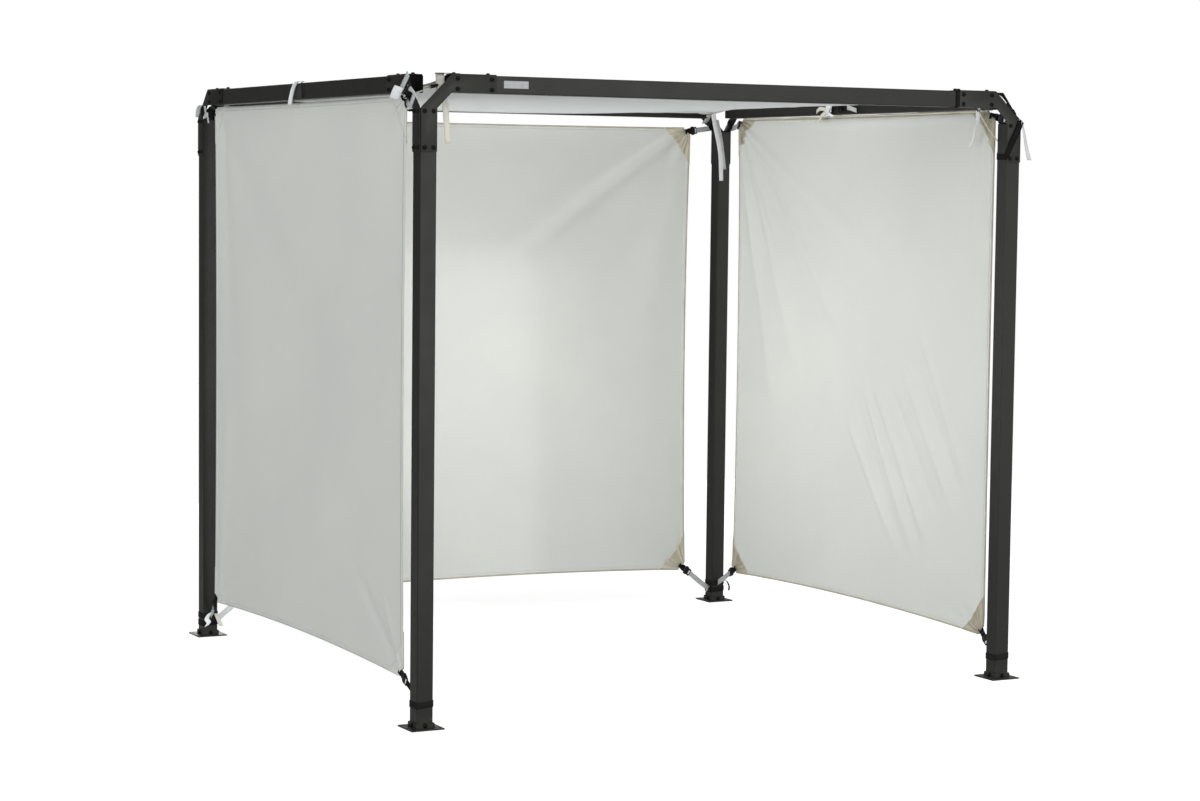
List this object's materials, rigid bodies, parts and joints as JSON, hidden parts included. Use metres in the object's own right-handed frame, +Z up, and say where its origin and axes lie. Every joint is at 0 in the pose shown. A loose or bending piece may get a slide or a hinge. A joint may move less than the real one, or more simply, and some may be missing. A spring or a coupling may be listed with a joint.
{
  "type": "garden gazebo",
  "caption": "Square-tube steel garden gazebo frame, open at the front, with fabric roof and wall sheets tied to cut-back corners by buckled straps.",
  "frame": {"origin": "on the ground, at the centre of the frame's plan", "axes": "+Z up, +X along the front from left to right, open front facing -Y"},
  "size_m": [2.4934, 2.2534, 2.2],
  "materials": {
    "frame_paint": "charcoal powder coat, satin, fine orange peel",
    "sheet_cloth": "off-white woven polyester, matt, slightly see-through",
    "strap_webbing": "black ribbed webbing and moulded buckle, satin"
  },
  "bodies": {
    "root": {"post_front_left": "frame_paint", "post_front_right": "frame_paint", "post_back_left": "frame_paint", "post_back_right": "frame_paint", "foot_front_left": "frame_paint", "foot_front_right": "frame_paint", "foot_back_left": "frame_paint", "foot_back_right": "frame_paint", "front_beam": "frame_paint", "back_beam": "frame_paint", "left_beam": "frame_paint", "right_beam": "frame_paint", "corner_plate_front_left_end": "frame_paint", "corner_plate_front_left_side": "frame_paint", "corner_plate_front_right_end": "frame_paint", "corner_plate_front_right_side": "frame_paint", "corner_plate_back_left_end": "frame_paint", "corner_plate_back_left_side": "frame_paint", "corner_plate_back_right_end": "frame_paint", "corner_plate_back_right_side": "frame_paint", "left_wall_sheet": "sheet_cloth", "right_wall_sheet": "sheet_cloth", "back_wall_sheet": "sheet_cloth", "roof_sheet": "sheet_cloth", "left_wall_strap_top_front_left": "strap_webbing", "left_wall_strap_top_back_left": "strap_webbing", "left_wall_strap_low_front_left": "strap_webbing", "left_wall_strap_low_back_left": "strap_webbing", "right_wall_strap_top_front_right": "strap_webbing", "right_wall_strap_top_back_right": "strap_webbing", "right_wall_strap_low_front_right": "strap_webbing", "right_wall_strap_low_back_right": "strap_webbing", "back_wall_strap_top_back_left": "strap_webbing", "back_wall_strap_top_back_right": "strap_webbing", "back_wall_strap_low_back_left": "strap_webbing", "back_wall_strap_low_back_right": "strap_webbing", "roof_strap_front_left": "strap_webbing", "roof_strap_front_right": "strap_webbing", "roof_strap_back_left": "strap_webbing", "roof_strap_back_right": "strap_webbing"}
  },
  "joints": []
}
